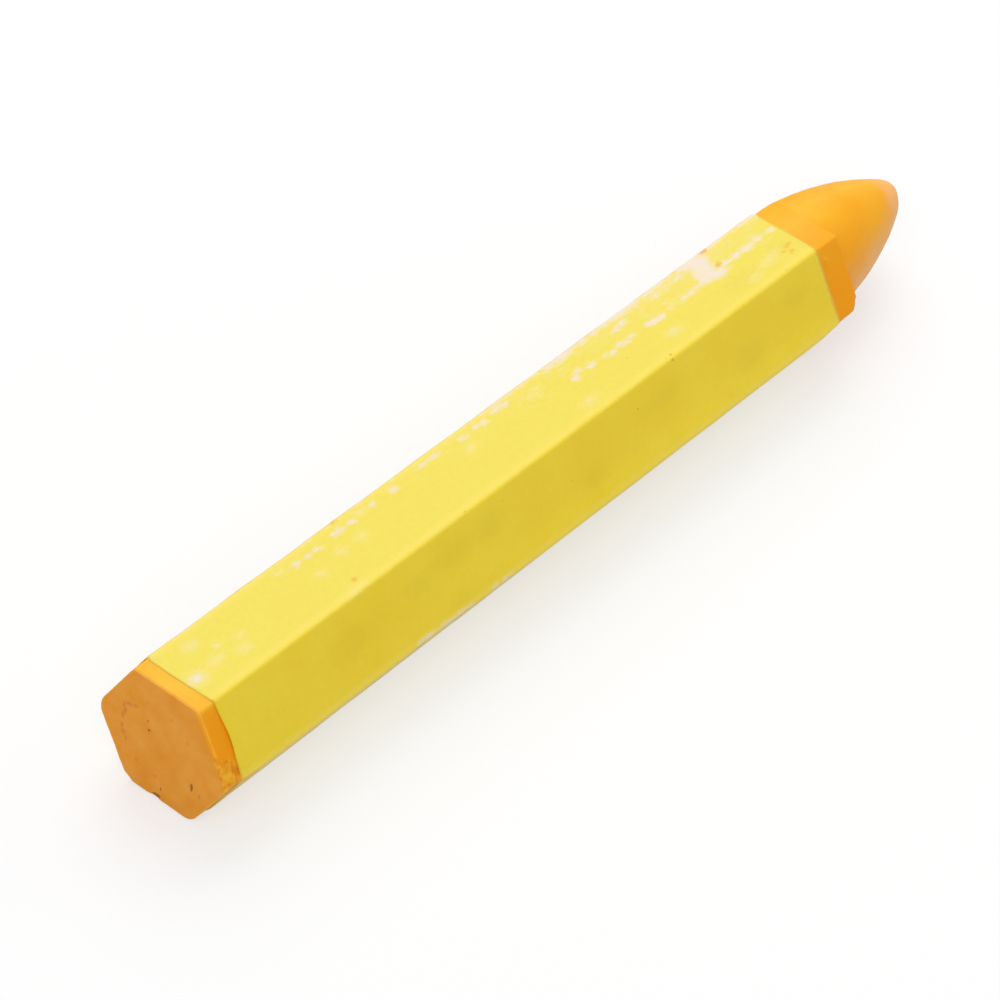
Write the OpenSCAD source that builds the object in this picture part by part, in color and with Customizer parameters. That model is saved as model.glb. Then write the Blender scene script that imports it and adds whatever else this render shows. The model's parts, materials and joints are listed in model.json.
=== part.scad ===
// Hexagonal wax marking crayon in a glued paper sleeve.
// It lies on one flat, butt to the left (-X), nose to the right (+X).
// The origin is on the resting plane, under the middle of its length and width.

/* [Crayon] */
// Overall length, from the butt face to the tip of the nose
crayon_length = 120.9; // [90:0.1:160]
// Width across the flats of the hexagonal shank
across_flats = 15; // [11:0.5:22]
// Rounding along the six long edges of the wax
edge_radius = 0.45; // [0.3:0.05:1.4]

/* [Nose] */
// Length of the bullet nose beyond the shoulder
nose_length = 18.3; // [14:0.1:26]
// Radius of the blunt tip
tip_radius = 2.5; // [1.2:0.1:3.4]
// Step from a flat of the shank in to the nose, all round the shoulder
shoulder_step = 0.45; // [0.1:0.05:1.2]
// Angle at which the nose leaves the shoulder, measured from the axis
nose_start_angle = 4; // [0:0.5:8]
// How far the nose was cast off the axis, towards the far upper flat
nose_offset = 0.75; // [0:0.05:1]
// Angle at which the two far upper corners of the shoulder run out onto the nose
run_out_angle = 17; // [15:1:30]

/* [Paper sleeve] */
// Thickness of the paper
paper_thickness = 0.12; // [0.08:0.01:0.3]
// Film of glue between the wax and the paper
glue_film = 0.02; // [0.01:0.01:0.05]
// Bare wax between the lower edge of the butt face and the sleeve
bare_at_butt = 2.25; // [1:0.05:6]
// Bare wax between the sleeve and the shoulder
bare_at_shoulder = 3.4; // [1:0.1:10]
// Width of the lap where the paper is glued to itself, on the far upper flat
lap_width = 5; // [2:0.5:5.5]
// Length over which the outer layer climbs onto the inner one
lap_ramp = 0.6; // [0.3:0.1:0.8]

/* [Wear] */
// Angle by which the butt was cut off square, its lower edge standing further out
butt_lean = 1.3; // [0:0.1:2]
// Rounding that handling has left on the lower corners of the butt
butt_wear = 0.25; // [0.1:0.05:0.8]
// Depth lost at the worst worn corner of the butt, the far lower one
worn_corner = 0.4; // [0.1:0.1:1.2]
// Depth of the shallow dent in the lower edge of the butt face
dent_depth = 0.35; // [0.1:0.05:0.8]
// Depth of the chip in the near upper edge of the butt face
chip_depth = 0.35; // [0.1:0.05:0.6]
// Depth lost where the near corner of the shoulder is broken off
corner_break = 0.7; // [0.1:0.1:1.2]

/* [Hidden] */
$fn = 64;

wax_colour = [0.97, 0.66, 0.14];
paper_colour = [0.94, 0.87, 0.35];

butt_x = -crayon_length / 2;
tip_x = crayon_length / 2;
shoulder_x = tip_x - nose_length;
axis_height = across_flats / 2 + glue_film + paper_thickness;

// Steps on each side of the middle of a rounded edge
edge_steps = 4;

// Unit vector at a turn in the plane of an outline
function direction(turn) = [cos(turn), sin(turn)];

// Distance from the axis to a rounded long edge of a hexagon
function edge_distance(flats, radius) = (flats / 2 - radius) / cos(30) + radius;
wax_edge = edge_distance(across_flats, edge_radius);

// The nose is a large arc that meets the round tip with a common tangent
nose_radius = across_flats / 2 - shoulder_step;
tip_centre = nose_length - tip_radius;
flank_radius = (pow(tip_centre, 2) + pow(nose_radius, 2) - pow(tip_radius, 2))
    / (2 * (nose_radius * cos(nose_start_angle) - tip_radius - tip_centre * sin(nose_start_angle)));
flank_centre = [
    nose_radius - flank_radius * cos(nose_start_angle),
    -flank_radius * sin(nose_start_angle)
];
tangent_direction = [0, tip_centre] - flank_centre;

// Corners of the shoulder run out within this length
run_out_length = 8;

// Directions round the axis, counted from the far side (+Y) towards the top
far_upper_flat = 30;
near_edge = 180;
top_flat = 90;
far_flat = -30;
far_lower_edge = 300;
bottom_flat = 270;

// Where the leaning butt face crosses the axis
butt_face_x = butt_x + axis_height * tan(butt_lean);

sleeve_start = butt_x + bare_at_butt;
sleeve_length = shoulder_x - bare_at_shoulder - sleeve_start;
sleeve_inside = across_flats + 2 * glue_film;
sleeve_outside = sleeve_inside + 2 * paper_thickness;
sleeve_inner_radius = edge_radius + glue_film;
sleeve_outer_radius = sleeve_inner_radius + paper_thickness;

// Stands a flat outline up in the YZ plane at x and runs it along +X
module run_along_x(x, length) {
    translate([x, 0, axis_height])
        rotate([90, 0, 90])
            linear_extrude(length)
                children();
}

// Hexagon lying on a flat, with each corner an arc of even steps
module rounded_hexagon(flats, radius) {
    arc_centre = (flats / 2 - radius) / cos(30);
    polygon([
        for (corner = [0 : 60 : 300])
            for (step = [-edge_steps : edge_steps])
                arc_centre * direction(corner) + radius * direction(corner + 30 * step / edge_steps)
    ]);
}

// Half outline of the nose: radius across, distance from the shoulder up
module nose_outline() {
    reach = 2 * nose_length;
    beyond = [0, tip_centre] + tangent_direction / norm(tangent_direction) * reach;
    intersection() {
        translate(flank_centre)
            circle(flank_radius, $fn = 256);
        polygon([[0, 0], [across_flats, 0], beyond, [0, tip_centre]]);
    }
    intersection() {
        translate([0, tip_centre])
            circle(tip_radius);
        polygon([[0, tip_centre], beyond, [0, reach]]);
    }
}

// Bullet nose, cast a little off the axis and no wider than the mould's flats
module nose() {
    intersection() {
        translate([shoulder_x, 0, axis_height])
            rotate([far_upper_flat, 0, 0])
                translate([0, nose_offset, 0])
                    rotate([0, 90, 0])
                        rotate_extrude($fn = 128)
                            nose_outline();
        run_along_x(shoulder_x, nose_length)
            rounded_hexagon(across_flats, edge_radius);
    }
}

// Far upper corners of the shank, tapering off until they sink into the nose
module run_out() {
    sharp_corner = across_flats / 2 / cos(30);
    reach = across_flats;
    intersection() {
        translate([shoulder_x, 0, axis_height])
            rotate([90, 0, 90])
                cylinder(
                    h = run_out_length,
                    r1 = sharp_corner,
                    r2 = sharp_corner - run_out_length * tan(run_out_angle),
                    $fn = 6
                );
        run_along_x(shoulder_x, run_out_length)
            rounded_hexagon(across_flats, edge_radius);
        run_along_x(shoulder_x, run_out_length)
            polygon([
                [0, 0],
                reach * direction(far_flat),
                reach * direction(far_upper_flat),
                reach * direction(top_flat)
            ]);
    }
}

// What lies beyond the leaning face of the butt
module beyond_butt() {
    block = 2 * across_flats;
    translate([butt_x, 0, 0])
        rotate([0, butt_lean, 0])
            translate([-block, -block / 2, -block / 2])
                cube([block, block, 2 * block]);
}

// Shank with the corners of its butt rubbed round
module shank() {
    envelope = wax_edge + 0.05;
    intersection() {
        run_along_x(butt_x, shoulder_x - butt_x)
            rounded_hexagon(across_flats, edge_radius);
        translate([butt_x, 0, axis_height])
            rotate([0, 90, 0])
                rotate_extrude($fn = 128)
                    union() {
                        square([envelope - butt_wear, butt_wear]);
                        translate([envelope - butt_wear, butt_wear])
                            circle(butt_wear);
                        translate([0, butt_wear])
                            square([envelope, shoulder_x - butt_x]);
                    }
    }
}

// Distance from the axis to the surface of the shank in a direction round it
function surface_distance(turn) =
    min(wax_edge, across_flats / 2 / cos(30 - abs(turn % 60)));

// Bite with the hollow of a ball, depth deep, out of the edge of an end face.
// turn is its direction round the axis, and lean tips it towards the face.
module bite(x, turn, ball, depth, lean) {
    translate([x, 0, axis_height])
        rotate([turn, 0, 0])
            translate([0, surface_distance(turn), 0])
                rotate([0, 0, lean])
                    translate([0, ball - depth, 0])
                        sphere(ball);
}

module crayon_stick() {
    color(wax_colour)
        difference() {
            union() {
                shank();
                nose();
                run_out();
            }
            beyond_butt();
            bite(butt_x, far_lower_edge, 4, worn_corner, 45);
            bite(butt_x, bottom_flat + 6, 2.5, dent_depth, 60);
            bite(butt_face_x, near_edge - 12, 1.8, chip_depth, 50);
            bite(shoulder_x, near_edge - 2, 3, corner_break, -35);
        }
}

// One turn of the sheet round the shank
module wrapped_turn() {
    difference() {
        rounded_hexagon(sleeve_outside, sleeve_outer_radius);
        rounded_hexagon(sleeve_inside, sleeve_inner_radius);
    }
}

// Where the end of the sheet climbs onto its beginning and lies glued on top
module lap() {
    root = -paper_thickness / 2;
    rotate(far_upper_flat - 90)
        translate([0, sleeve_outside / 2])
            polygon([
                [-lap_width / 2, root],
                [-lap_width / 2, paper_thickness],
                [lap_width / 2, paper_thickness],
                [lap_width / 2 + lap_ramp, 0],
                [lap_width / 2 + lap_ramp, root]
            ]);
}

module paper_sleeve() {
    color(paper_colour)
        union() {
            run_along_x(sleeve_start, sleeve_length)
                wrapped_turn();
            run_along_x(sleeve_start, sleeve_length)
                lap();
        }
}

crayon_stick();
paper_sleeve();
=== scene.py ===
# %% [markdown]
# # A hexagonal marking crayon in its paper sleeve
#
# The object is two pieces: a cast wax stick with a bullet nose, and one sheet of
# yellow paper wrapped once round it and glued. Both are rebuilt here as fine
# meshes, because wax and paper show who has handled them: rubbed corners, a
# broken edge, ink worn off the folds. Each piece takes the place of the packed
# solid of the same shape, so its sizes are read from the frame and not retyped.

# %% Load the frame and read its sizes
import json
import math

import bpy
import numpy as np
from mathutils import Matrix, Vector

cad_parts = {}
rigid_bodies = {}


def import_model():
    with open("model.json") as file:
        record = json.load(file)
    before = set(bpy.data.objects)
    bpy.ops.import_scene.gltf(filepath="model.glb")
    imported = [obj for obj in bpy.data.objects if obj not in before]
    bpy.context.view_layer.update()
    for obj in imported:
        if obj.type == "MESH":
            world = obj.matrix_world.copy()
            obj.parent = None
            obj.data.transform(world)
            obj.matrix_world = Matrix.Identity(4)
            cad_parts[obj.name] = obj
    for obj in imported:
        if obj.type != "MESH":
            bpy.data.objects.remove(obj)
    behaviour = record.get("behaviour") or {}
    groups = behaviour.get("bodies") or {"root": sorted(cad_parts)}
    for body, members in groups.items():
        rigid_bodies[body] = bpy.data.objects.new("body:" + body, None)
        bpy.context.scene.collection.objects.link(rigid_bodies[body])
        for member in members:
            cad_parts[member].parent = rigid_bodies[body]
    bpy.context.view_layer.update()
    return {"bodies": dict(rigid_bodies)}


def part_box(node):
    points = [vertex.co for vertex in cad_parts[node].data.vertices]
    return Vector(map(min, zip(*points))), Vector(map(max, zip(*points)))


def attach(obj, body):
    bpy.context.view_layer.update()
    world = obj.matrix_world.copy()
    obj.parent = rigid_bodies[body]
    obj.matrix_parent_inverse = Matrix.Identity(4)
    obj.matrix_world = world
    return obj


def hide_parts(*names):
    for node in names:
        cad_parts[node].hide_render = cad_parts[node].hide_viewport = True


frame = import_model()
body = next(iter(frame["bodies"]))

MM = 0.001
stick_low, stick_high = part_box("crayon_stick")
sleeve_low, sleeve_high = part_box("paper_sleeve")
# The butt was cut a little off square, so its top edge stands back from its lower one.
BUTT_LEAN = 0.34 * MM
butt_x, tip_x = stick_low.x + BUTT_LEAN, stick_high.x
sleeve_start, sleeve_end = sleeve_low.x, sleeve_high.x
flats = stick_high.z - stick_low.z
axis_height = (stick_high.z + stick_low.z) / 2
print("across the flats", round(flats / MM, 2), "mm, length", round((tip_x - stick_low.x) / MM, 2), "mm")

# %% [markdown]
# ## Shared tools
#
# Wax and paper are both swept round the same rounded hexagon. A ring of points
# that crowds into the corners keeps the folds crisp without wasting faces on
# the flats. The hand-made unevenness of both comes from a sum of a few seeded
# waves: it is smooth, it never repeats in view, and it is the same each run.

# %% Points round a rounded hexagon
CORNERS = range(0, 360, 60)


def around(turns):
    """Unit vectors in the YZ plane, at turns in degrees from the far side (+Y) towards the top."""
    turns = np.radians(np.asarray(turns, float))
    return np.stack([np.cos(turns), np.sin(turns)], axis=-1)


def hexagon_ring(width, radius, arc_steps, flat_steps):
    """Points and outward normals round a hexagon lying on a flat; flat_steps has one count per flat."""
    arc_centre = (width / 2 - radius) / math.cos(math.radians(30))
    points, normals = [], []
    for corner, steps in zip(CORNERS, flat_steps):
        turns = corner + np.linspace(-30, 30, arc_steps + 1)
        arc = arc_centre * around([corner]) + radius * around(turns)
        flat_end = arc_centre * around([corner + 60]) + radius * around([corner + 30])
        shares = np.arange(1, steps)[:, None] / steps
        points += [arc, arc[-1] + shares * (flat_end - arc[-1])]
        normals += [around(turns), np.repeat(around([corner + 30]), steps - 1, axis=0)]
    return np.vstack(points), np.vstack(normals)


print("a ring with 4 steps a corner and 3 a flat has", len(hexagon_ring(flats, MM, 4, [3] * 6)[0]), "points")


# %% Seeded ripples
def ripple(points, wavelength, seed, waves=9):
    """A smooth field of about -1 to 1 over points in metres, with bumps about a wavelength apart."""
    dice = np.random.default_rng(seed)
    field = np.zeros(points.shape[:-1])
    for _ in range(waves):
        heading = dice.normal(size=points.shape[-1])
        heading /= np.linalg.norm(heading)
        length = wavelength * dice.uniform(0.7, 1.6)
        field += np.sin(points @ heading * (2 * math.pi / length) + dice.uniform(0, 2 * math.pi))
    return field / math.sqrt(waves)


def ease(value, low, high):
    """0 below low, 1 above high, smooth in between."""
    share = np.clip((value - low) / (high - low), 0, 1)
    return share * share * (3 - 2 * share)


line_of_points = np.linspace(0, 1, 200)[:, None] * (stick_high - stick_low)
print("a ripple along the crayon swings by", round(float(np.ptp(ripple(line_of_points, 5 * MM, 1))), 2))


# %% Meshes from grids of points
def grid_faces(rows, columns, wrap):
    """Quads of a grid whose points are numbered row by row; wrap joins the last column to the first."""
    row, column = np.meshgrid(np.arange(rows - 1), np.arange(columns - (not wrap)), indexing="ij")
    following = (column + 1) % columns
    corners = [row * columns + column, row * columns + following]
    corners += [(row + 1) * columns + following, (row + 1) * columns + column]
    return np.stack(corners, axis=-1).reshape(-1, 4)


def make_piece(name, points, faces, node, material):
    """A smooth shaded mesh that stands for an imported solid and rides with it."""
    mesh = bpy.data.meshes.new(name)
    mesh.from_pydata(points.reshape(-1, 3).tolist(), [], [list(face) for face in faces])
    mesh.validate()
    mesh.shade_smooth()
    mesh.materials.append(material)
    piece = bpy.data.objects.new(name, mesh)
    bpy.context.scene.collection.objects.link(piece)
    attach(piece, body)
    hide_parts(node)
    print(name, len(mesh.vertices), "points,", len(mesh.polygons), "faces")
    return piece


def paint(piece, name, values):
    """Stores one number per point of the piece, for its material to read by name."""
    layer = piece.data.attributes.new(name, "FLOAT", "POINT")
    layer.data.foreach_set("value", np.asarray(values, np.float32).ravel())


print("3 rows of 6 points joined round make", len(grid_faces(3, 6, True)), "faces")


# %% [markdown]
# ## Shader groups that wax and paper share
#
# Three effects turn up on both pieces. `Ragged Mask` takes a soft field painted
# on the points and breaks its edge up with noise, so a scuff looks torn and not
# drawn. `Mottle` is the slow change of tone in any printed or cast surface.
# `Fine Relief` is the height of grain and small lumps for the bump. Making each
# a group with named inputs means a material only says how strong it wants them.

# %% Build node groups and wire nodes with short calls
def new_group(name, inputs, output):
    """An empty shader group with float or vector inputs and one float output."""
    group = bpy.data.node_groups.new(name, "ShaderNodeTree")
    for title, default in inputs.items():
        kind = "NodeSocketVector" if default is None else "NodeSocketFloat"
        socket = group.interface.new_socket(title, in_out="INPUT", socket_type=kind)
        if default is not None:
            socket.default_value = default
    group.interface.new_socket(output, in_out="OUTPUT", socket_type="NodeSocketFloat")
    return group, group.nodes.new("NodeGroupInput"), group.nodes.new("NodeGroupOutput")


def feed(tree, socket, value):
    """Links a node's output to the socket, or sets the socket to a plain value."""
    if isinstance(value, bpy.types.NodeSocket):
        tree.links.new(value, socket)
    elif value is not None:
        socket.default_value = value


def calculate(tree, operation, *values, clamp=False):
    """One sum, product or the like of sockets and plain numbers."""
    node = tree.nodes.new("ShaderNodeMath")
    node.operation = operation
    node.use_clamp = clamp
    for socket, value in zip(node.inputs, values):
        feed(tree, socket, value)
    return node.outputs[0]


def noise(tree, vector, scale, detail=3.0, roughness=0.55):
    """A cloudy value from 0 to 1, with about as many lumps a metre as the scale says."""
    node = tree.nodes.new("ShaderNodeTexNoise")
    feed(tree, node.inputs["Vector"], vector)
    feed(tree, node.inputs["Scale"], scale)
    node.inputs["Detail"].default_value = detail
    node.inputs["Roughness"].default_value = roughness
    return node.outputs["Fac"]


def remap(tree, value, from_low, from_high, to_low=0.0, to_high=1.0):
    """Turns one range of values into another, with a smooth start and end."""
    node = tree.nodes.new("ShaderNodeMapRange")
    node.interpolation_type = "SMOOTHSTEP"
    titles = ("Value", "From Min", "From Max", "To Min", "To Max")
    for title, number in zip(titles, (value, from_low, from_high, to_low, to_high)):
        feed(tree, node.inputs[title], number)
    return node.outputs["Result"]


NOISE_MIDDLE = 0.5
print("one millimetre is", MM, "of Blender's units, so a noise scale of 1000 has lumps of about 1 mm")


# %% Ragged Mask: a painted field with a torn edge
ragged_inputs = {"Vector": None, "Field": 0.0, "Noise Scale": 1500.0, "Raggedness": 0.5, "Softness": 0.1}
ragged_group, group_in, group_out = new_group("Ragged Mask", ragged_inputs, "Mask")
cloud = noise(ragged_group, group_in.outputs["Vector"], group_in.outputs["Noise Scale"])
centred = calculate(ragged_group, "SUBTRACT", cloud, NOISE_MIDDLE)
swing = calculate(ragged_group, "MULTIPLY", centred, group_in.outputs["Raggedness"])
torn = calculate(ragged_group, "ADD", group_in.outputs["Field"], swing)
soft = group_in.outputs["Softness"]
mask = remap(ragged_group, torn, calculate(ragged_group, "MULTIPLY", soft, -1.0), soft)
ragged_group.links.new(mask, group_out.inputs["Mask"])
print(ragged_group.name, "takes", list(ragged_inputs))

# %% Mottle: slow changes of tone
mottle_inputs = {"Vector": None, "Scale": 200.0, "Contrast": 1.0}
mottle_group, group_in, group_out = new_group("Mottle", mottle_inputs, "Tone")
broad = noise(mottle_group, group_in.outputs["Vector"], group_in.outputs["Scale"], detail=4.0)
centred = calculate(mottle_group, "SUBTRACT", broad, NOISE_MIDDLE)
scaled = calculate(mottle_group, "MULTIPLY", centred, group_in.outputs["Contrast"])
tone = calculate(mottle_group, "ADD", scaled, NOISE_MIDDLE, clamp=True)
mottle_group.links.new(tone, group_out.inputs["Tone"])
print(mottle_group.name, "takes", list(mottle_inputs))

# %% Fine Relief: grain over small lumps, as a height
relief_inputs = {"Vector": None, "Grain Scale": 8000.0, "Grain": 0.3, "Lump Scale": 900.0, "Lumps": 0.7}
relief_group, group_in, group_out = new_group("Fine Relief", relief_inputs, "Height")
grain = noise(relief_group, group_in.outputs["Vector"], group_in.outputs["Grain Scale"], detail=2.0)
lumps = noise(relief_group, group_in.outputs["Vector"], group_in.outputs["Lump Scale"], detail=3.0)
grain_height = calculate(relief_group, "MULTIPLY", grain, group_in.outputs["Grain"])
lump_height = calculate(relief_group, "MULTIPLY", lumps, group_in.outputs["Lumps"])
height = calculate(relief_group, "ADD", grain_height, lump_height)
relief_group.links.new(height, group_out.inputs["Height"])
print(relief_group.name, "takes", list(relief_inputs))
print("shader groups:", [group.name for group in bpy.data.node_groups])


# %% Read coordinates, colours and painted fields, and place a group
def stretched(tree, vector, factors):
    """The coordinates scaled along each axis: below 1 draws a pattern out, above 1 crowds it."""
    node = tree.nodes.new("ShaderNodeMapping")
    node.inputs["Scale"].default_value = factors
    tree.links.new(vector, node.inputs["Vector"])
    return node.outputs["Vector"]


def linear(red, green, blue):
    """Screen colour, 0 to 255, as the linear colour that a shader needs."""
    levels = [level / 255 for level in (red, green, blue)]
    return (*[x / 12.92 if x <= 0.04045 else ((x + 0.055) / 1.055) ** 2.4 for x in levels], 1.0)


def use_group(tree, group, **values):
    """Places a group in a material; its inputs are named with _ for each space."""
    node = tree.nodes.new("ShaderNodeGroup")
    node.node_tree = group
    for title, value in values.items():
        feed(tree, node.inputs[title.replace("_", " ")], value)
    return node.outputs[0]


def painted(tree, name):
    """The numbers that `paint` stored on the piece under this name."""
    node = tree.nodes.new("ShaderNodeAttribute")
    node.attribute_name = name
    return node.outputs["Fac"]


print("screen grey 128 is", round(linear(128, 128, 128)[0], 3), "as a linear colour")


# %% Lay one colour over another
def blend_colours(tree, share, first, second):
    """The first colour where the share is 0, the second where it is 1."""
    node = tree.nodes.new("ShaderNodeMix")
    node.data_type = "RGBA"
    feed(tree, node.inputs["Factor"], share)
    feed(tree, node.inputs["A"], first)
    feed(tree, node.inputs["B"], second)
    return node.outputs["Result"]


def tint(tree, colour, share, strength, over):
    """Lays another colour over the first, as strongly as told where the share is 1."""
    return blend_colours(tree, calculate(tree, "MULTIPLY", share, strength), colour, over)


def torn_share(tree, place, name, noise_scale, raggedness, softness):
    """The painted field of that name as a mask with a torn edge."""
    return use_group(
        tree, ragged_group, Vector=place, Field=painted(tree, name),
        Noise_Scale=noise_scale, Raggedness=raggedness, Softness=softness,
    )


def lay_marks(tree, place, colour, coloured_marks):
    """Lays marks over a colour one by one.

    Each is its field's name, its edge's noise scale, raggedness and softness, its strength and its colour.
    """
    for name, noise_scale, raggedness, softness, strength, over in coloured_marks:
        share = torn_share(tree, place, name, noise_scale, raggedness, softness)
        colour = tint(tree, colour, share, strength, over)
    return colour


print("every mark gets its edge from the group", ragged_group.name)


# %% Start a material and bend its surface
def start_material(name):
    """A material with its Principled shader, and the coordinates of the frame."""
    material = bpy.data.materials.new(name)
    material.use_nodes = True
    tree = material.node_tree
    place = tree.nodes.new("ShaderNodeTexCoord").outputs["Object"]
    return material, tree, tree.nodes["Principled BSDF"], place


def add_bump(tree, shader, height, distance, strength):
    """Bends the shader's normal by a height, in metres when the height is 1."""
    bump = tree.nodes.new("ShaderNodeBump")
    bump.inputs["Strength"].default_value = strength
    bump.inputs["Distance"].default_value = distance
    tree.links.new(height, bump.inputs["Height"])
    tree.links.new(bump.outputs["Normal"], shader.inputs["Normal"])


print("materials that came with the frame:", [material.name for material in bpy.data.materials])

# %% [markdown]
# ## The wax: colour and finish
#
# Marking wax is pigment in paraffin. It is a deep orange yellow, light goes a
# little way in, and the skin has a low satin shine. The bare wax on top gets a
# painted light and sheen, and the near side of both bare ends a painted shade
# of deeper orange. The butt, where the stick was cut from its mould, is duller
# and browner than the sides. A painted highlight runs round the butt's rim. The
# tip is rubbed pale where it writes, and a painted reflection lies along the
# near lower side of the nose. One Principled shader with some subsurface carries
# the body, and painted fields choose between these states.

# %% Colours of the wax
WAX_SKIN = linear(255, 181, 10)
WAX_DEEP = linear(252, 163, 0)
# Painted light and sheen on the bare wax on top
WAX_LIT_TOP = linear(255, 204, 66)
# Painted shade on the near side of the bare ends
WAX_SHADED_NEAR = linear(255, 158, 0)
# Painted highlight round the butt's rim
WAX_RIM_HIGHLIGHT = linear(255, 194, 80)
# Pale rubbed wax of the tip, also used as painted reflection along the nose's near lower side
WAX_USED_AND_REFLECTION = linear(254, 190, 126)
WAX_END = linear(248, 171, 68)
WAX_END_DARK = linear(240, 154, 40)
WAX_SCRATCH = linear(212, 118, 54)
# Painted shade and painted light of the crumbled bits
WAX_CRUMB_SHADE = linear(226, 122, 8)
WAX_CRUMB_LIT = linear(255, 190, 48)
# Dark spots, most in the pits and the dent of the butt face
WAX_DARK_SPOT = linear(120, 62, 34)
print("the skin's green is", round(WAX_SKIN[1], 2), "and the bleached top's", round(WAX_LIT_TOP[1], 2))

# %% The cast skin: mottled, painted light on top, painted shade on the near side, browner on the butt
wax, tree, shader, place = start_material("marking wax")
tone = use_group(tree, mottle_group, Vector=place, Scale=160.0, Contrast=1.6)
skin = blend_colours(tree, tone, WAX_DEEP, WAX_SKIN)
end_tone = use_group(tree, mottle_group, Vector=place, Scale=420.0, Contrast=2.2)
end_colour = blend_colours(tree, end_tone, WAX_END_DARK, WAX_END)
end_share = torn_share(tree, place, "end_face", 1600.0, 0.5, 0.35)
# Painted light on the top and painted shade on the near side, laid over the skin
lit_top_and_shaded_near = [
    ("wax_lit_top", 500.0, 0.5, 0.9, 0.75, WAX_LIT_TOP),
    ("wax_shaded_near", 500.0, 0.4, 0.9, 0.7, WAX_SHADED_NEAR),
]
skin = lay_marks(tree, place, skin, lit_top_and_shaded_near)
colour = blend_colours(tree, end_share, skin, end_colour)
print("nodes for the cast skin:", len(tree.nodes))

# %% Marks over the skin: painted rim highlight, wear and painted reflection on the nose, crumbs in painted light and shade, scratches and dark spots
# The crumbled wax gets painted light and shade: lit and shaded bits mottled together.
crumb_lit_share = use_group(tree, mottle_group, Vector=place, Scale=1300.0, Contrast=4.0)
crumbs = blend_colours(tree, crumb_lit_share, WAX_CRUMB_SHADE, WAX_CRUMB_LIT)
wax_marks = [
    ("rim_highlight", 1300.0, 0.9, 0.5, 0.75, WAX_RIM_HIGHLIGHT),
    ("used_and_reflection", 700.0, 0.7, 0.5, 0.72, WAX_USED_AND_REFLECTION),
    ("crumbled", 1900.0, 1.6, 0.25, 0.7, crumbs),
    ("scratched", 3000.0, 0.9, 0.9, 0.6, WAX_SCRATCH),
    ("dark_spots", 5200.0, 0.7, 0.22, 0.7, WAX_DARK_SPOT),
]
colour = lay_marks(tree, place, colour, wax_marks)
tree.links.new(colour, shader.inputs["Base Color"])
print("marks on the wax:", [mark[0] for mark in wax_marks])

# %% Shine, depth and grain of the wax
SKIN_ROUGHNESS, BUTT_ROUGHNESS = 0.52, 0.66
roughness = remap(tree, end_share, 0.0, 1.0, SKIN_ROUGHNESS, BUTT_ROUGHNESS)
tree.links.new(roughness, shader.inputs["Roughness"])
shader.inputs["IOR"].default_value = 1.44
shader.inputs["Specular IOR Level"].default_value = 0.2
# Red light goes deepest into the wax.
shader.inputs["Subsurface Weight"].default_value = 0.15
shader.inputs["Subsurface Radius"].default_value = (1.0, 0.45, 0.12)
shader.inputs["Subsurface Scale"].default_value = 1.2 * MM
wax_height = use_group(
    tree, relief_group, Vector=place, Grain_Scale=5200.0, Grain=0.35, Lump_Scale=650.0, Lumps=1.0
)
add_bump(tree, shader, wax_height, 0.06 * MM, 0.8)
print("light goes", round(shader.inputs["Subsurface Scale"].default_value / MM, 2), "mm into the wax")

# %% [markdown]
# ## The wax: shape
#
# The stick is one skin of rings, from the middle of the butt out to its rim,
# along the shank, in over the shoulder and up the nose. One grid keeps every
# edge a real rounded edge. The nose is an arc that meets a round tip with a
# common tangent, and it was cast a little off the axis, so one side runs on
# from the flat and the other leaves a step.

# %% Sizes of the nose and of the rounded edges
# Rounding along the six long edges, and round the rims of the butt and the shoulder
EDGE_RADIUS = 0.28 * MM
RIM = 0.2 * MM
# The bullet nose: its length, its round tip, and the step from a flat in to it
NOSE_LENGTH = 18.1 * MM
TIP_RADIUS = 2.5 * MM
SHOULDER_STEP = 0.45 * MM
NOSE_START_ANGLE = math.radians(4)
# How far, and in which direction round the axis, the nose was cast off centre
NOSE_OFFSET = 0.75 * MM
NOSE_TURN = 30
# Length over which a running-on corner bends down to its slope
SOFTENED = 1.3 * MM
# Rounding that handling left on the corners of the butt
BUTT_WEAR = 0.25 * MM

shoulder_x = tip_x - NOSE_LENGTH
nose_base = flats / 2 - SHOULDER_STEP
nose_centre = NOSE_OFFSET * around(NOSE_TURN)
edge_reach = (flats / 2 - EDGE_RADIUS) / math.cos(math.radians(30)) + EDGE_RADIUS
print("a long edge lies", round(edge_reach / MM, 2), "mm from the axis")


# %% The nose's profile
# The last ring stays open by this angle, in radians, and one point closes it.
LAST_TURN = 0.03


def nose_profile(flank_steps=84, tip_steps=18):
    """Distances from the shoulder and radii, up the flank arc and over the round tip."""
    centre = NOSE_LENGTH - TIP_RADIUS
    start = NOSE_START_ANGLE
    flank = (centre**2 + nose_base**2 - TIP_RADIUS**2) / (
        2 * (nose_base * math.cos(start) - TIP_RADIUS - centre * math.sin(start))
    )
    middle = (-flank * math.sin(start), nose_base - flank * math.cos(start))
    meets = math.atan2(-middle[1], centre - middle[0])
    flank_turns = np.linspace(math.pi / 2 - start, meets, flank_steps)
    tip_turns = np.linspace(meets, LAST_TURN, tip_steps)[1:]
    along = np.concatenate([middle[0] + flank * np.cos(flank_turns), centre + TIP_RADIUS * np.cos(tip_turns)])
    radii = np.concatenate([middle[1] + flank * np.sin(flank_turns), TIP_RADIUS * np.sin(tip_turns)])
    return along, radii


print("the nose ends", round(nose_profile()[1][-1] / MM, 3), "mm from its axis")


# %% Outlines of the rings
# The least rounding of a corner, and the steps round each corner and along each flat
SHARPEST = 0.12 * MM
CORNER_STEPS, FLAT_STEPS = 10, 26


def ring_at(x, outline):
    """Stands a flat outline round the axis up at x."""
    return np.column_stack([np.full(len(outline), x), outline[:, 0], outline[:, 1] + axis_height])


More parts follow.
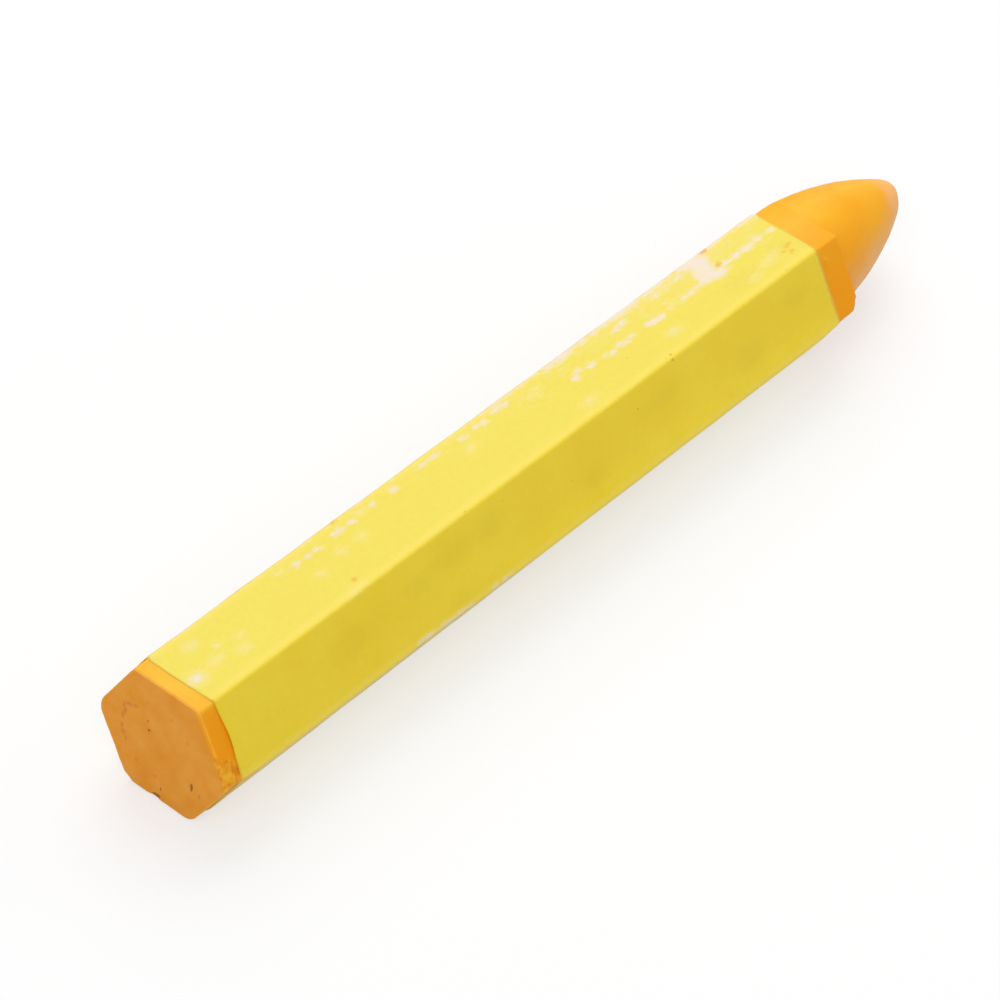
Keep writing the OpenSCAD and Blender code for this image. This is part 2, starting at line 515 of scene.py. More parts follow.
def inside_flats(outline):
    """Keeps an outline within the six flats of the mould."""
    for turn in CORNERS:
        normal = around(turn + 30)
        outline = outline - np.maximum(outline @ normal - flats / 2, 0)[:, None] * normal
    return outline


def hexagon(inset):
    """The shank's outline drawn in by an inset; its corners never get quite sharp."""
    radius = max(EDGE_RADIUS - inset, SHARPEST)
    return hexagon_ring(flats - 2 * inset, radius, CORNER_STEPS, [FLAT_STEPS] * 6)[0]


print("points round the stick:", len(hexagon(0)))


# %% The nose's base, and the corners that run on past the shoulder
# Each point of an outline looks towards the nose's own axis.
rim = hexagon(RIM) - nose_centre
look = rim / np.linalg.norm(rim, axis=1)[:, None]
base = inside_flats(nose_centre + nose_base * look)
distances, radii = nose_profile()

# Each point of the shank's outline could run on in a straight line until it touches the nose.
full = hexagon(0)
full_reach = np.linalg.norm(full - nose_centre, axis=1)
slopes = (full_reach[:, None] - radii[None, 1:]) / distances[None, 1:]
slope = slopes.min(axis=1)
touch = distances[1:][slopes.argmin(axis=1)]

# From the far flat round to the top flat they do, and past both this fades out.
turns = np.degrees(np.arctan2(rim[:, 1], rim[:, 0])) % 360
runs_on = ease(turns, 118, 84) * (turns < 180) + ease(turns, 335, 350)


def run_on(outline, distance):
    """Moves an outline at a distance past the shoulder out to the corners that run on."""
    drop = slope * SOFTENED * math.log1p(math.exp(distance / SOFTENED))
    share = (runs_on * (distance < touch))[:, None]
    straight = inside_flats(nose_centre + (full_reach - drop)[:, None] * look)
    return outline + share * (straight - outline)


def outside_base(outline):
    """Where the nose is as wide as the shank there is no step, so the skin runs straight on."""
    wider = np.linalg.norm(outline - nose_centre, axis=1) > np.linalg.norm(base - nose_centre, axis=1)
    return np.where(wider[:, None], outline, base)


print("the longest corner touches the nose", round(float(touch[runs_on > 0].max()) / MM, 1), "mm up")


# %% Rings of the butt and the shank
BUTT_RINGS = 52
INNERMOST_SHARE = 0.015
# Rings stand close together on the bare wax, and far apart under the paper.
FINE = 0.12 * MM


def butt_and_shank():
    """Rings from the middle of the butt, round its rim and along to the shoulder."""
    rings = [ring_at(butt_x, hexagon(RIM) * share) for share in np.linspace(INNERMOST_SHARE, 1, BUTT_RINGS)]
    for turn in np.radians(np.linspace(15, 90, 6)):
        rings.append(ring_at(butt_x + RIM * (1 - math.cos(turn)), hexagon(RIM * (1 - math.sin(turn)))))
    stations = [
        np.arange(butt_x + RIM + FINE, sleeve_start + 1.0 * MM, FINE),
        np.linspace(sleeve_start + 1.6 * MM, sleeve_end - 1.6 * MM, 14),
        np.arange(sleeve_end - 1.0 * MM, shoulder_x - RIM - FINE / 2, FINE),
    ]
    for x in np.concatenate(stations):
        rings.append(ring_at(x, run_on(full, x - shoulder_x) if x > sleeve_end else full))
    return rings


print("rings up to the shoulder:", len(butt_and_shank()))


# %% Rings of the shoulder and the nose
# The ledge of the shoulder leans out by this little, and the first ring of the nose stands just past it.
LEDGE_LEAN = 0.02 * MM
NOSE_FOOT = 0.03 * MM


def shoulder_and_nose():
    """Rings in over the shoulder's rim and ledge, and up the nose to its tip."""
    rings = []
    for turn in np.radians(np.linspace(0, 90, 7)):
        inset = RIM * (1 - math.sin(turn))
        corner = outside_base(hexagon(RIM * (1 - math.cos(turn))))
        rings.append(ring_at(shoulder_x - inset, run_on(corner, -inset)))
    ledge = outside_base(hexagon(RIM))
    for share in np.linspace(0, 1, 8)[1:-1]:
        rings.append(ring_at(shoulder_x + share * LEDGE_LEAN, run_on(ledge + (base - ledge) * share, 0)))
    for distance, radius in zip(distances, radii):
        outline = run_on(inside_flats(nose_centre + radius * look), distance)
        rings.append(ring_at(shoulder_x + max(distance, NOSE_FOOT), outline))
    return rings


skin_points = np.array(butt_and_shank() + shoulder_and_nose())
print("stick rings and points a ring:", skin_points.shape[:2])

# %% [markdown]
# ## Wear on the wax
#
# Every mark is a simple tool used on the soft skin. `press_ball` pushes the
# points that lie inside a ball out onto its surface, which leaves the clean
# hollow of a chip or a pit. `shave` cuts everything beyond a plane back to it,
# as rubbing does. The broken shoulder corner and the chips of the butt sit
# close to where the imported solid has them. Smaller marks are only here: the
# crumbled near corner of the butt and its rubbed near rim, and a crumb that
# stuck to the stub by the sleeve.


# %% Tools that wear the skin
def press_ball(points, centre, radius):
    """Points inside the ball move out to its surface."""
    away = points - centre
    distance = np.linalg.norm(away, axis=-1, keepdims=True)
    pushed = centre + away / np.maximum(distance, 1e-9) * radius
    return np.where(distance < radius, pushed, points)


def shave(points, place, facing, roundness):
    """Points beyond the plane come back to it, with a soft start of the given width."""
    facing = np.asarray(facing, float) / np.linalg.norm(facing)
    over = (points - place) @ facing
    removed = roundness * np.log1p(np.exp(np.clip(over / roundness, -30, 30)))
    return points - removed[..., None] * facing


ALONG = np.array([1.0, 0, 0])


def off_axis(x, turn, distance):
    """The point at a distance from the axis, in a direction round it in degrees."""
    return np.array([x, 0, axis_height]) + distance * np.array([0.0, *around(turn)])


def surface_distance(turn):
    """Distance from the axis to the shank's surface in a direction round it."""
    return min(edge_reach, flats / 2 / math.cos(math.radians(30 - abs(turn % 60))))


def bite_centre(x, turn, ball, depth, lean):
    """Where the ball of a bite sits: over the surface, leaning out past the end face."""
    outward = np.array([0.0, *around(turn)])
    lean = math.radians(lean)
    surface = off_axis(x, turn, surface_distance(turn))
    return surface + (ball - depth) * (math.cos(lean) * outward - math.sin(lean) * ALONG)


def bite(points, x, turn, ball, depth, lean):
    """The hollow of a ball, depth deep, out of the edge of an end face."""
    return press_ball(points, bite_centre(x, turn, ball, depth, lean), ball)


print("half way along a flat the surface is", round(surface_distance(30) / MM, 2), "mm from the axis")


# %% Rub the butt's corners round, and ripple the cast surface
def rub_butt_corners(points):
    """Brings the corners of the butt in to a turned, rounded end."""
    spoke = points - np.array([0, 0, axis_height])
    spoke[..., 0] = 0
    reach = np.linalg.norm(spoke, axis=-1)
    depth = np.clip(points[..., 0] - butt_x, 0, BUTT_WEAR)
    limit = edge_reach - BUTT_WEAR + np.sqrt(np.maximum(BUTT_WEAR**2 - (BUTT_WEAR - depth) ** 2, 0))
    share = np.minimum(1, limit / np.maximum(reach, 1e-9))
    return points + spoke * (share - 1)[..., None]


def outward_normals(points):
    """Normals of the ring grid, from its neighbours along and round."""
    lengthwise = np.gradient(points, axis=0)
    sideways = np.roll(points, -1, axis=1) - np.roll(points, 1, axis=1)
    crossed = np.cross(sideways, lengthwise)
    return crossed / np.maximum(np.linalg.norm(crossed, axis=-1, keepdims=True), 1e-12)


def lean_butt(points):
    """The butt was cut a little off square: its lower side stands further out."""
    near_butt = ease(points[..., 0], butt_x + 1.6 * MM, butt_x + 0.3 * MM)
    out = BUTT_LEAN * (1 - points[..., 2] / (2 * axis_height))
    return points - (near_butt * out)[..., None] * ALONG


skin_points = rub_butt_corners(skin_points)
normals = outward_normals(skin_points)
bare_butt = ease(skin_points[..., 0], sleeve_start + 0.4 * MM, sleeve_start - 0.1 * MM)
bare_nose = ease(skin_points[..., 0], sleeve_end - 0.4 * MM, sleeve_end + 0.1 * MM)
slow_dip = 0.018 * MM * (ripple(skin_points, 5 * MM, 11) - 1.0)
fine_dip = 0.008 * MM * (ripple(skin_points, 1.4 * MM, 12) - 1.0)
dip = (slow_dip + fine_dip) * (bare_butt + bare_nose)
skin_points = skin_points + normals * dip[..., None]
print("normals point outward:", bool(normals[BUTT_RINGS + 20, 0, 1] > 0 and normals[3, 0, 0] < 0))
print("the cast surface dips by up to", round(float(-dip.min()) / MM, 3), "mm")

# %% Chips, a dent and the broken corner
NEAR_EDGE, FAR_LOWER, BOTTOM = 180, 300, 270
# Bites out of the butt's edge: direction round the axis, ball and depth in millimetres, lean in degrees.
BUTT_BITES = [(FAR_LOWER, 4, 0.4, 45), (BOTTOM + 4, 2.5, 0.24, 60), (NEAR_EDGE - 12, 1.8, 0.35, 50)]
for turn, ball, depth, lean in BUTT_BITES:
    skin_points = bite(skin_points, butt_x, turn, ball * MM, depth * MM, lean)

# The shoulder's near corner broke off along two planes: the way each faces, and its depth in millimetres.
BREAKS = [((0.6, -0.79, 0.05), 0.55), ((0.3, -0.94, -0.16), 0.36)]
broken_corner = off_axis(shoulder_x, NEAR_EDGE, edge_reach)
on_shank = skin_points[..., :1] < shoulder_x + 0.01 * MM
for facing, depth in BREAKS:
    broken = shave(skin_points, broken_corner - depth * MM * np.array(facing), facing, 0.07 * MM)
    skin_points = np.where(on_shank, broken, skin_points)
print("bites:", len(BUTT_BITES), "broken faces:", len(BREAKS))

# %% Pits of the butt face
# Across (+Y) and up from the axis, radius and depth, in millimetres
PITS = [
    (1.8, 0.9, 0.28, 0.1), (2.0, 2.0, 0.2, 0.07), (-3.9, -2.9, 0.34, 0.14), (0.2, -6.2, 0.3, 0.12),
    (4.6, 2.6, 0.25, 0.06), (-0.6, 3.4, 0.22, 0.05), (3.2, -3.0, 0.24, 0.06), (-2.4, 0.2, 0.2, 0.05),
]
for across, up, radius, depth in PITS:
    pit_centre = np.array([butt_x - (radius - depth) * MM, across * MM, axis_height + up * MM])
    skin_points = press_ball(skin_points, pit_centre, radius * MM)
print("pits:", len(PITS))

# %% Crumbled wax along the near edge of the butt
# Direction round the axis, ball and depth in millimetres, lean in degrees
CRUMBS = [
    (177, 1.1, 0.5, 40), (172, 0.8, 0.46, 50), (167, 1.0, 0.5, 38), (162, 0.7, 0.4, 52), (158, 0.8, 0.32, 45),
    (174, 0.6, 0.4, 10), (165, 0.5, 0.3, 12), (154, 0.5, 0.2, 30), (107, 0.6, 0.12, 45), (137, 0.7, 0.12, 45),
]
CRUMBLY_TURN = 173
for turn, ball, depth, lean in CRUMBS:
    skin_points = bite(skin_points, butt_x, turn, ball * MM, depth * MM, lean)
crumbly_middle = off_axis(butt_x + 0.7 * MM, CRUMBLY_TURN, surface_distance(CRUMBLY_TURN))
crumbly = ease(np.linalg.norm(skin_points - crumbly_middle, axis=-1), 2.2 * MM, 1.0 * MM)
rough = 0.09 * MM * (ripple(skin_points, 0.7 * MM, 13) - 0.6)
short_of_sleeve = ease(skin_points[..., 0], sleeve_start, butt_x + 1.4 * MM)
skin_points = skin_points + normals * (rough * crumbly * short_of_sleeve)[..., None]
print("crumbs:", len(CRUMBS))

# %% Rubbed corners and the rubbed near rim of the butt
# Direction round the axis, and depth lost in millimetres
WORN_CORNERS = [(1, 0.42), (288, 0.42), (312, 0.42), (240, 0.3), (120, 0.16), (58, 0.1)]
for turn, depth in WORN_CORNERS:
    worn_place = off_axis(butt_x, turn, edge_reach - depth * MM)
    skin_points = shave(skin_points, worn_place, (-0.3, *around(turn)), 0.1 * MM)

NEAR_FLAT_TURN = 150
RIM_RUB = 0.24 * MM
rim_facing = np.array([-0.75, *(0.66 * around(NEAR_FLAT_TURN))])
rim_place = off_axis(butt_x, NEAR_FLAT_TURN, flats / 2) - RIM_RUB * rim_facing
skin_points = shave(skin_points, rim_place, rim_facing, 0.05 * MM)
skin_points = lean_butt(skin_points)

# The near edge is rubbed off over the first millimetres of the sleeve, and the paper follows it.
EDGE_RUB, EDGE_RUB_LENGTH = 0.26 * MM, 4.6 * MM
edge_place = off_axis(butt_x, NEAR_EDGE, edge_reach - EDGE_RUB)
skin_points = shave(skin_points, edge_place, (-EDGE_RUB / EDGE_RUB_LENGTH, *around(NEAR_EDGE)), 0.04 * MM)
print("worn corners:", len(WORN_CORNERS))

# %% A crumb stuck to the near flat by the shoulder, and the rubbed near side of the tip
CRUMB_TURN, CRUMB_RADIUS, CRUMB_HEIGHT = 131, 0.28 * MM, 0.32 * MM
stuck_crumb = off_axis(sleeve_end + 0.75 * MM, CRUMB_TURN, surface_distance(CRUMB_TURN))
near_crumb = np.exp(-((np.linalg.norm(skin_points - stuck_crumb, axis=-1) / CRUMB_RADIUS) ** 2))
crumb_lift = (CRUMB_HEIGHT * near_crumb)[..., None]
skin_points = skin_points + crumb_lift * np.array([0, *around(NEAR_FLAT_TURN)])
tip_side = np.array([tip_x - 0.95 * MM, -0.95 * MM, axis_height + 0.4 * MM])
skin_points = shave(skin_points, tip_side, (0.72, -0.69, 0.1), 0.06 * MM)
print("the crumb stands", CRUMB_HEIGHT / MM, "mm high")

# %% Fields for the wax's material: the butt face, its rubbed rim, the painted highlight round the rim, and its crumbs
# A field is above 0 inside its mark, below 0 outside, and this low far from any mark.
FAR_OUTSIDE = -3.0
x, y, z = (skin_points[..., i] for i in range(3))
around_axis = np.degrees(np.arctan2(z - axis_height, y)) % 360
cut_x = butt_x - BUTT_LEAN * (1 - z / (2 * axis_height))
end_face = ease(x, cut_x + 0.45 * MM, cut_x + 0.12 * MM) * 2 - 1
# The rubbed rim on the near flat has the colour of the sides.
toward_near = around(NEAR_FLAT_TURN)
inward = flats / 2 - y * toward_near[0] - (z - axis_height) * toward_near[1]
end_face = np.minimum(end_face, (inward - 0.45 * MM) / (0.14 * MM))

# A painted highlight in a band round the butt's rim
rim_rings = [BUTT_RINGS - 3, BUTT_RINGS + 3, BUTT_RINGS + 9]
rim_highlight = np.interp(np.arange(len(x)), rim_rings, [-1.0, 0.3, -1.2])[:, None] + np.zeros(x.shape)
crumbled = np.full(x.shape, FAR_OUTSIDE)
for turn, ball, depth, lean in CRUMBS:
    crumb_centre = bite_centre(butt_x - 0.15 * MM, turn, ball * MM, depth * MM, lean)
    inside_crumb = 1.12 - np.linalg.norm(skin_points - crumb_centre, axis=-1) / (ball * MM)
    crumbled = np.maximum(crumbled, 3 * inside_crumb)
crumbled = np.maximum(crumbled, np.where(end_face < 0, 1.4 * crumbly - 0.7, FAR_OUTSIDE))
print("points on the butt face:", int((end_face > 0).sum()), "crumbled:", int((crumbled > 0).sum()))

# %% Dark spots, most in the pits and the dent, and scratches on the butt face
# Across and up from the axis, and half sizes along both, in millimetres
DARK_SPOTS = [
    (-4.1, -2.8, 0.2, 0.52), (0.25, -6.95, 0.5, 0.24), (1.8, 0.9, 0.17, 0.17), (2.0, 2.0, 0.1, 0.16),
    (-0.2, -5.8, 0.12, 0.3),
]
SCRATCHES = [
    (5.2, 2.1, 0.16, 0.3), (5.0, 1.4, 0.22, 0.4), (5.25, 0.7, 0.16, 0.34), (5.3, -0.7, 0.2, 0.3),
    (5.1, -1.5, 0.24, 0.34), (4.5, 2.6, 0.44, 0.2), (3.7, 2.9, 0.26, 0.16), (4.7, -2.2, 0.16, 0.3),
    (2.2, 4.4, 0.14, 0.1), (-1.0, 4.2, 0.2, 0.1), (3.2, -4.1, 0.12, 0.2), (-3.2, 2.6, 0.1, 0.2),
    (-5.2, -3.3, 0.12, 0.3), (0.6, -4.6, 0.1, 0.24),
]


def on_butt_face(ovals):
    """A field that is above 0 inside the ovals, on the butt face and just round its rim."""
    field = np.full(x.shape, FAR_OUTSIDE)
    for across, up, half_width, half_height in ovals:
        sideways = (y / MM - across) / half_width
        upward = ((z - axis_height) / MM - up) / half_height
        field = np.maximum(field, np.where(x < cut_x + 0.9 * MM, 1 - np.hypot(sideways, upward), FAR_OUTSIDE))
    return field


dark_spots = on_butt_face(DARK_SPOTS)
scratched = on_butt_face(SCRATCHES)
print("dirt spots:", len(DARK_SPOTS), "scratches:", len(SCRATCHES))

# %% The rubbed tip with a painted reflection on the nose, the painted light on top and the painted shade on the near side
around_nose = np.degrees(np.arctan2(z - axis_height - nose_centre[1], y - nose_centre[0])) % 360
up_nose = (x - shoulder_x) / NOSE_LENGTH
# The tip is rubbed pale where the crayon drew, and a painted reflection lies pale along the near lower side
# of the nose.
pale_side = 228 - 26 * ease(up_nose, 0.5, 0.95)
used_and_reflection = 1.1 - np.abs(around_nose - pale_side) / 58 + 0.12 * ripple(skin_points, 6 * MM, 41)
tip_rub = np.array([tip_x - 1.1 * MM, nose_centre[0] - 2.2 * MM, axis_height + nose_centre[1] - 0.4 * MM])
used_and_reflection = np.maximum(used_and_reflection, 1.3 - np.linalg.norm(skin_points - tip_rub, axis=-1) / (3.5 * MM))
used_and_reflection = np.where(up_nose > 0, used_and_reflection, -1)

# Painted light and sheen: the bare wax on top is made lighter and yellower, and so is the top of the nose.
wax_lit_top = np.where(x < 0, 0.75, 0.3) - np.abs(around_axis - 88) / 42
on_nose = 0.1 + 0.3 * ease(up_nose, 0.35, 0) - np.abs(around_nose - 84) / 42
wax_lit_top = np.where(up_nose > 0, on_nose, wax_lit_top) + 0.06 * ripple(skin_points, 7 * MM, 42)

# Painted shade: the near side of both bare ends is made a deeper orange.
wax_shaded_near = 0.7 - np.abs(around_axis - 165) / 60
wax_shaded_near = np.where((x > sleeve_end - 2 * MM) & (up_nose <= 0.005), wax_shaded_near, -1)
wax_shaded_near = np.where((x < 0) & (around_axis > 122) & (around_axis < 180), 0.25 - crumbled, wax_shaded_near)
from_crumb = np.linalg.norm(skin_points - stuck_crumb, axis=-1) / MM
wax_shaded_near = np.minimum(wax_shaded_near, 4 * from_crumb - 1.6)
print("rubbed points of the nose:", int((used_and_reflection > 0).sum()))

# %% Make the wax stick
rows, columns = skin_points.shape[:2]
# Two fans of triangles close the first and the last ring.
butt_middle = np.array([[butt_x, 0, axis_height]])
tip_middle = skin_points[-1].mean(axis=0, keepdims=True)
points = np.concatenate([skin_points.reshape(-1, 3), butt_middle, tip_middle])
last_ring = (rows - 1) * columns
butt_fan = [(rows * columns, (i + 1) % columns, i) for i in range(columns)]
tip_fan = [(rows * columns + 1, last_ring + i, last_ring + (i + 1) % columns) for i in range(columns)]
stick_faces = [*grid_faces(rows, columns, True), *butt_fan, *tip_fan]
stick = make_piece("wax_stick", points, stick_faces, "crayon_stick", wax)
wax_fields = {
    "end_face": end_face, "crumbled": crumbled, "rim_highlight": rim_highlight, "dark_spots": dark_spots,
    "scratched": scratched, "used_and_reflection": used_and_reflection, "wax_lit_top": wax_lit_top, "wax_shaded_near": wax_shaded_near,
}
for name, field in wax_fields.items():
    paint(stick, name, np.concatenate([field.ravel(), [field.flat[0], field.flat[-1]]]))

# %% [markdown]
# ## The paper: colour and finish
#
# The sleeve is thin coated paper printed yellow on the outside. Where it rubs
# the ink goes and white fibre shows: in broken streaks along the top, in a
# ragged patch near the nose, and all along the upper fold. The marks are given
# one by one on the unrolled sheet, because that is how the damage happened:
# along the sheet and over its folds. Each is a soft oval in a painted field,
# and the shader tears its edge. The top flat has a painted sheen, and the folds
# and cut ends a painted highlight. Wax has stained the cut ends, and on the near
# side the stain is also painted shade at the paper's edge, as is the strip below
# the lower near fold by the butt.

# %% Colours of the paper
INK = linear(249, 223, 52)
INK_DEEP = linear(246, 212, 24)
# Painted sheen on the top flat
INK_TOP_SHEEN = linear(241, 223, 76)
# Painted highlight on the folds and cut ends, and painted reflection on the lower near fold
INK_HIGHLIGHT = linear(253, 226, 92)
INK_SMUDGED = linear(222, 194, 34)
FIBRE = linear(244, 230, 218)
FIBRE_STAINED = linear(252, 230, 166)
# Wax smeared on the paper, also used as painted shade at the near cut ends and below the lower near fold
WAX_SMEAR_AND_SHADE = linear(236, 176, 24)
PAPER_DIRT = linear(158, 112, 26)
print("the ink's blue is", round(INK[2], 3), "and bare fibre's", round(FIBRE[2], 3))

# %% The printed ink: uneven, a painted sheen on top, a painted highlight on the folds, smudged and specked
paper, tree, shader, place = start_material("printed paper")
tone = use_group(tree, mottle_group, Vector=place, Scale=110.0, Contrast=1.8)
colour = blend_colours(tree, tone, INK_DEEP, INK)
colour = lay_marks(tree, place, colour, [("paper_top_sheen", 300.0, 0.4, 0.6, 0.85, INK_TOP_SHEEN)])
fleck_tone = use_group(tree, mottle_group, Vector=place, Scale=1500.0, Contrast=2.4)
colour = tint(tree, colour, fleck_tone, 0.14, INK_SMUDGED)
ink_marks = [
    ("fold_highlight", 900.0, 0.5, 0.7, 0.6, INK_HIGHLIGHT),
    ("smudge", 900.0, 1.6, 0.9, 0.2, INK_SMUDGED),
    ("speck", 6000.0, 0.3, 0.15, 0.42, PAPER_DIRT),
]
colour = lay_marks(tree, place, colour, ink_marks)
print("marks in the ink:", [mark[0] for mark in ink_marks])

# %% Where the ink has gone: bare fibre, drawn out along the sheet, and smears of wax
along_sheet = stretched(tree, place, (0.42, 1.0, 1.0))
stain = use_group(tree, mottle_group, Vector=along_sheet, Scale=900.0, Contrast=2.4)
fibre = blend_colours(tree, stain, FIBRE_STAINED, FIBRE)
colour = lay_marks(tree, along_sheet, colour, [("faint_rub", 3000.0, 1.9, 0.7, 0.36, fibre)])
rub_share = torn_share(tree, along_sheet, "rub", 3000.0, 0.95, 0.34)
bared = tint(tree, FIBRE, stain, 0.5, FIBRE_STAINED)
colour = tint(tree, colour, rub_share, 0.94, bared)
colour = lay_marks(tree, place, colour, [("smear_and_shade", 2600.0, 0.6, 0.2, 0.75, WAX_SMEAR_AND_SHADE)])
tree.links.new(colour, shader.inputs["Base Color"])
print("nodes in the paper's material:", len(tree.nodes))

# %% Shine and grain of the paper
INK_ROUGHNESS, FIBRE_ROUGHNESS = 0.46, 0.85
roughness = remap(tree, rub_share, 0.0, 1.0, INK_ROUGHNESS, FIBRE_ROUGHNESS)
tree.links.new(roughness, shader.inputs["Roughness"])
shader.inputs["IOR"].default_value = 1.45
paper_height = use_group(
    tree, relief_group, Vector=place, Grain_Scale=7000.0, Grain=0.4, Lump_Scale=420.0, Lumps=1.0
)
# Where the ink is rubbed off, the surface lies a little lower.
lost_ink = calculate(tree, "MULTIPLY", rub_share, 0.35)
paper_height = calculate(tree, "SUBTRACT", paper_height, lost_ink)
add_bump(tree, shader, paper_height, 0.05 * MM, 0.7)
print("roughness goes from", INK_ROUGHNESS, "on ink to", FIBRE_ROUGHNESS, "on bare fibre")

# %% [markdown]
# ## The paper: shape
#
# The sleeve is a real sheet here, not a tube: it starts on the far upper flat,
# goes once round, climbs over its own beginning and ends on top of it. So it
# has a thickness, cut ends and a lap that can be seen. Paper that has been
# handled lets go in places, so the near flat bows out at the butt and the
# lower near fold stands a little off the wax. The points are placed by the
# distance along the sheet, with more of them on the two flats and the fold
# that carry most marks.

# %% Route of the sheet round the shank
PAPER = 0.12 * MM
# The lap where the sheet is glued to itself, and the length over which it climbs
LAP = 5 * MM
LAP_RAMP = 0.6 * MM
glue = stick_low.z - sleeve_low.z - PAPER
FOLD_STEPS = 7
# The flats in order from the far upper one: most points go to the top flat and the near flat.
flat_steps = [8, 72, 44, 8, 8, 8]
ring_points, ring_normals = hexagon_ring(flats + 2 * glue, EDGE_RADIUS + glue, FOLD_STEPS, flat_steps)

# The distance round the ring is counted from the middle of the far upper flat.
closed = np.vstack([ring_points, ring_points[:1]])
ring_travel = np.concatenate([[0], np.cumsum(np.linalg.norm(np.diff(closed, axis=0), axis=1))])
perimeter = ring_travel[-1]
side = perimeter / 6
ring_travel = ring_travel[:-1] - side / 2


def on_ring(values, travel):
    """Reads a per-point value of the ring at distances round it, past its start and its end."""
    laps = np.concatenate([ring_travel - perimeter, ring_travel, ring_travel + perimeter])
    return np.stack([np.interp(travel, laps, np.tile(values[:, i], 3)) for i in range(2)], axis=-1)


sheet_start, sheet_end = -LAP / 2, perimeter + LAP / 2
once_more = np.concatenate([ring_travel, ring_travel + perimeter])
lap_ramp_start = perimeter - LAP / 2 - LAP_RAMP
stops = [
    once_more[(once_more > sheet_start) & (once_more < sheet_end)],
    np.linspace(lap_ramp_start, lap_ramp_start + LAP_RAMP, 5),
    [sheet_start, sheet_start + 0.15 * MM, sheet_end - 0.3 * MM, sheet_end - 0.12 * MM, sheet_end],
]
# Stops that fall together to a thousandth of a millimetre become one.
travel = np.unique(np.round(np.concatenate(stops), 6))
print("the sheet is", round((sheet_end - sheet_start) / MM, 1), "mm wide,", len(travel), "points across")

# %% The sheet's cut ends
# How far round the sheet the middle of the near flat and its lower fold lie
near_middle, lower_fold = 2 * side, 2.5 * side
STEP_ALONG = 0.26 * MM
steps = int((sleeve_end - sleeve_start) / STEP_ALONG)
along = np.linspace(0, 1, steps)[:, None]
flat_place = np.stack([travel, np.zeros_like(travel)], axis=-1)
# The two cuts wander a little, and the one at the butt is pulled in where the near flat bows out.
bowed = np.exp(-(((travel - near_middle) / (2.6 * MM)) ** 2))
start_edge = sleeve_start + 0.06 * MM * (1 + ripple(flat_place, 9 * MM, 21)) + 0.3 * MM * bowed
end_edge = sleeve_end - 0.06 * MM * (1 + ripple(flat_place, 11 * MM, 22))
# The lapped flat was cut a little shorter.
from_lap = np.minimum(travel - sheet_start, sheet_end - travel) - LAP
start_edge = start_edge + 0.8 * MM * ease(from_lap, 2.6 * MM, 0.4 * MM)
sheet_x = start_edge + (end_edge - start_edge) * along
sheet_travel = np.broadcast_to(travel, sheet_x.shape)
sheet_place = np.stack([sheet_x, sheet_travel], axis=-1)
print("the cut at the butt wanders by", round(float(np.ptp(start_edge)) / MM, 2), "mm")

# %% How far the sheet stands off the wax
LAP_GLUE = 0.01 * MM
climb = ease(travel, lap_ramp_start, lap_ramp_start + LAP_RAMP) * (PAPER + LAP_GLUE)
# Towards the nose the sheet is loose along the lower near fold.
LOOSE = 0.28 * MM
near_fold = np.exp(-(((sheet_travel - lower_fold) / (1.7 * MM)) ** 2))
towards_nose = ease(sheet_x, -45 * MM, 5 * MM)
held_at_nose = 0.15 + 0.85 * ease(sheet_x, sleeve_end, sleeve_end - 4 * MM)
loose = LOOSE * near_fold * towards_nose * held_at_nose
# At the butt it has come unglued along the middle of the near flat.
BOWED_OUT = 0.16 * MM
loose = loose + BOWED_OUT * bowed * ease(sheet_x, sleeve_start + 5 * MM, sleeve_start)
# It sinks with the near edge of the wax where that is rubbed off.
rubbed_off = EDGE_RUB * np.clip(1 - (sheet_x - butt_x) / EDGE_RUB_LENGTH, 0, 1)
rubbed_off = rubbed_off * np.exp(-(((sheet_travel - lower_fold) / (0.5 * MM)) ** 2))
lift = climb + loose - rubbed_off
print("the sheet stands off by up to", round(float(loose.max()) / MM, 2), "mm")


# %% Both skins of the sheet
ring_y_z = on_ring(ring_points, travel)
normal_y_z = on_ring(ring_normals, travel)
normal_y_z /= np.linalg.norm(normal_y_z, axis=-1, keepdims=True)
# Small puckers all over, but none underneath, where the crayon rests
PUCKER = 0.012 * MM
pucker = PUCKER * (ripple(sheet_place, 9 * MM, 23) + 0.6 * ripple(sheet_place, 3 * MM, 24) - 1.2)
off_the_table = ease(normal_y_z[:, 1], -0.97, -0.8)


def sheet_skin(height, relief):
    """The sheet's points at a height over the ring, with a small relief that fades out underneath."""
    rise = (height + relief * off_the_table)[..., None]
    y_z = ring_y_z + normal_y_z * rise
    return np.concatenate([sheet_x[..., None], y_z[..., :1], y_z[..., 1:] + axis_height], axis=-1)


# The cut ends were pressed thin, and so glued down tight.
from_end = np.minimum(sheet_x - start_edge, end_edge - sheet_x)
PRESSED_SHARE, PRESSED_LENGTH = 0.14, 0.6 * MM
thickness = PAPER * (PRESSED_SHARE + (1 - PRESSED_SHARE) * ease(from_end, 0, PRESSED_LENGTH))
inner = sheet_skin(lift, 0)
outer = sheet_skin(lift + thickness, pucker * thickness / PAPER)
rows, columns = sheet_x.shape
count = rows * columns
print("the sheet has", rows, "rows of", columns, "points on each side")

# %% Faces of both sides and of the cut edges
outside_faces = grid_faces(rows, columns, False)

